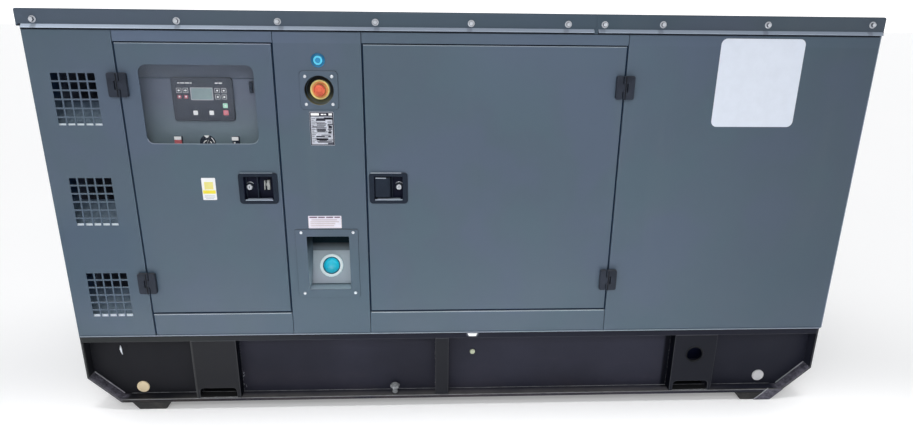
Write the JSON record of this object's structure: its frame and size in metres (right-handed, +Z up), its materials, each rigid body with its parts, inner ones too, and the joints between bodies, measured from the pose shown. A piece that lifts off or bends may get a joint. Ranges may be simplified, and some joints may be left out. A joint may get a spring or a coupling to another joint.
{
  "type": "diesel generator set",
  "caption": "Silenced diesel generator set: steel canopy with two side doors, control window, emergency stop and filler recess, on a fuel-tank base frame with fork slots.",
  "frame": {"origin": "middle of the footprint, on the ground under the feet", "axes": "+Z up, -Y out of the control side, +X to the right of someone facing the control side"},
  "size_m": [2.516, 1.032, 1.309],
  "materials": {
    "canopy_paint": "satin powder coat, blue-grey",
    "base_paint": "semi-matt black paint with dust on the ledges",
    "baffle_paint": "satin light grey",
    "cabinet_paint": "fine texture grey",
    "black_plastic": "moulded, slightly glossy",
    "controller_plastic": "matt membrane front",
    "cream_plastic": "moulded cap",
    "yellow_plastic": "moulded",
    "red_plastic": "moulded",
    "blue_plastic": "moulded",
    "white_vinyl": "printed film, left blank",
    "plate_metal": "satin",
    "zinc_steel": "zinc plated",
    "foot_rubber": "matt",
    "lining_foam": "open-cell sound lining",
    "window_pane": "clear sheet, slightly hazed",
    "engine_paint": "gloss",
    "alternator_paint": "satin",
    "radiator_paint": "matt",
    "fan_plastic": "moulded",
    "silencer_steel": "dull aluminised steel",
    "air_cleaner_plastic": "moulded"
  },
  "bodies": {
    "set_body": {"base_webs": "base_paint", "base_flanges": "base_paint", "base_end_plates": "base_paint", "base_posts": "base_paint", "cable_post": "base_paint", "fork_pockets": "base_paint", "fuel_tank": "base_paint", "cross_members": "base_paint", "base_plugs": "cream_plastic", "drain_plug": "zinc_steel", "base_feet": "foot_rubber", "front_vent_panel": "canopy_paint", "back_vent_panel": "canopy_paint", "front_centre_panel": "canopy_paint", "back_centre_panel": "canopy_paint", "plain_side_panels": "canopy_paint", "headers": "canopy_paint", "sills": "canopy_paint", "back_doors": "canopy_paint", "left_end_panel": "canopy_paint", "right_end_panel": "canopy_paint", "roof_left": "canopy_paint", "roof_right": "canopy_paint", "drip_edges": "canopy_paint", "wall_lining": "lining_foam", "door_frames": "canopy_paint", "vent_baffles": "baffle_paint", "frame_hinges": "black_plastic", "back_door_fittings": "black_plastic", "estop_cup": "canopy_paint", "estop_collar": "yellow_plastic", "filler_box": "baffle_paint", "filler_cap": "blue_plastic", "top_plug": "blue_plastic", "rating_plate": "plate_metal", "notice_plate": "white_vinyl", "badge_plate": "white_vinyl", "control_box": "cabinet_paint", "controller": "controller_plastic", "panel_switches": "black_plastic", "engine_block": "engine_paint", "alternator": "alternator_paint", "radiator": "radiator_paint", "cooling_fan": "fan_plastic", "silencer": "silencer_steel", "air_cleaner": "air_cleaner_plastic"},
    "control_door": {"control_door_panel": "canopy_paint", "control_door_lining": "lining_foam", "control_door_window": "window_pane", "control_door_hinges": "black_plastic", "control_door_latch": "black_plastic"},
    "engine_door": {"engine_door_panel": "canopy_paint", "engine_door_lining": "lining_foam", "engine_door_hinges": "black_plastic", "engine_door_latch": "black_plastic"},
    "paddle": {"latch_paddle": "black_plastic"},
    "stop_button": {"estop_button": "red_plastic"}
  },
  "joints": [
    {"name": "control_door_hinge", "type": "hinge", "parent": "set_body", "child": "control_door", "pos_m": [-1.001, -0.508, 0.7865], "axis": [0, 0, -1], "range_deg": [0, 120]},
    {"name": "engine_door_hinge", "type": "hinge", "parent": "set_body", "child": "engine_door", "pos_m": [0.4895, -0.508, 0.7865], "axis": [0, 0, 1], "range_deg": [0, 120]},
    {"name": "paddle_pull", "type": "hinge", "parent": "engine_door", "child": "paddle", "pos_m": [-0.224, -0.4965, 0.7885], "axis": [0, 0, 1], "range_deg": [0, 35], "stiffness_Nm_per_rad": 0.6, "springref_deg": -17.19},
    {"name": "stop_push", "type": "slide", "parent": "set_body", "child": "stop_button", "axis": [0, 1, 0], "range_m": [0, 0.005], "stiffness_N_per_m": 2000, "springref_m": -0.004}
  ]
}
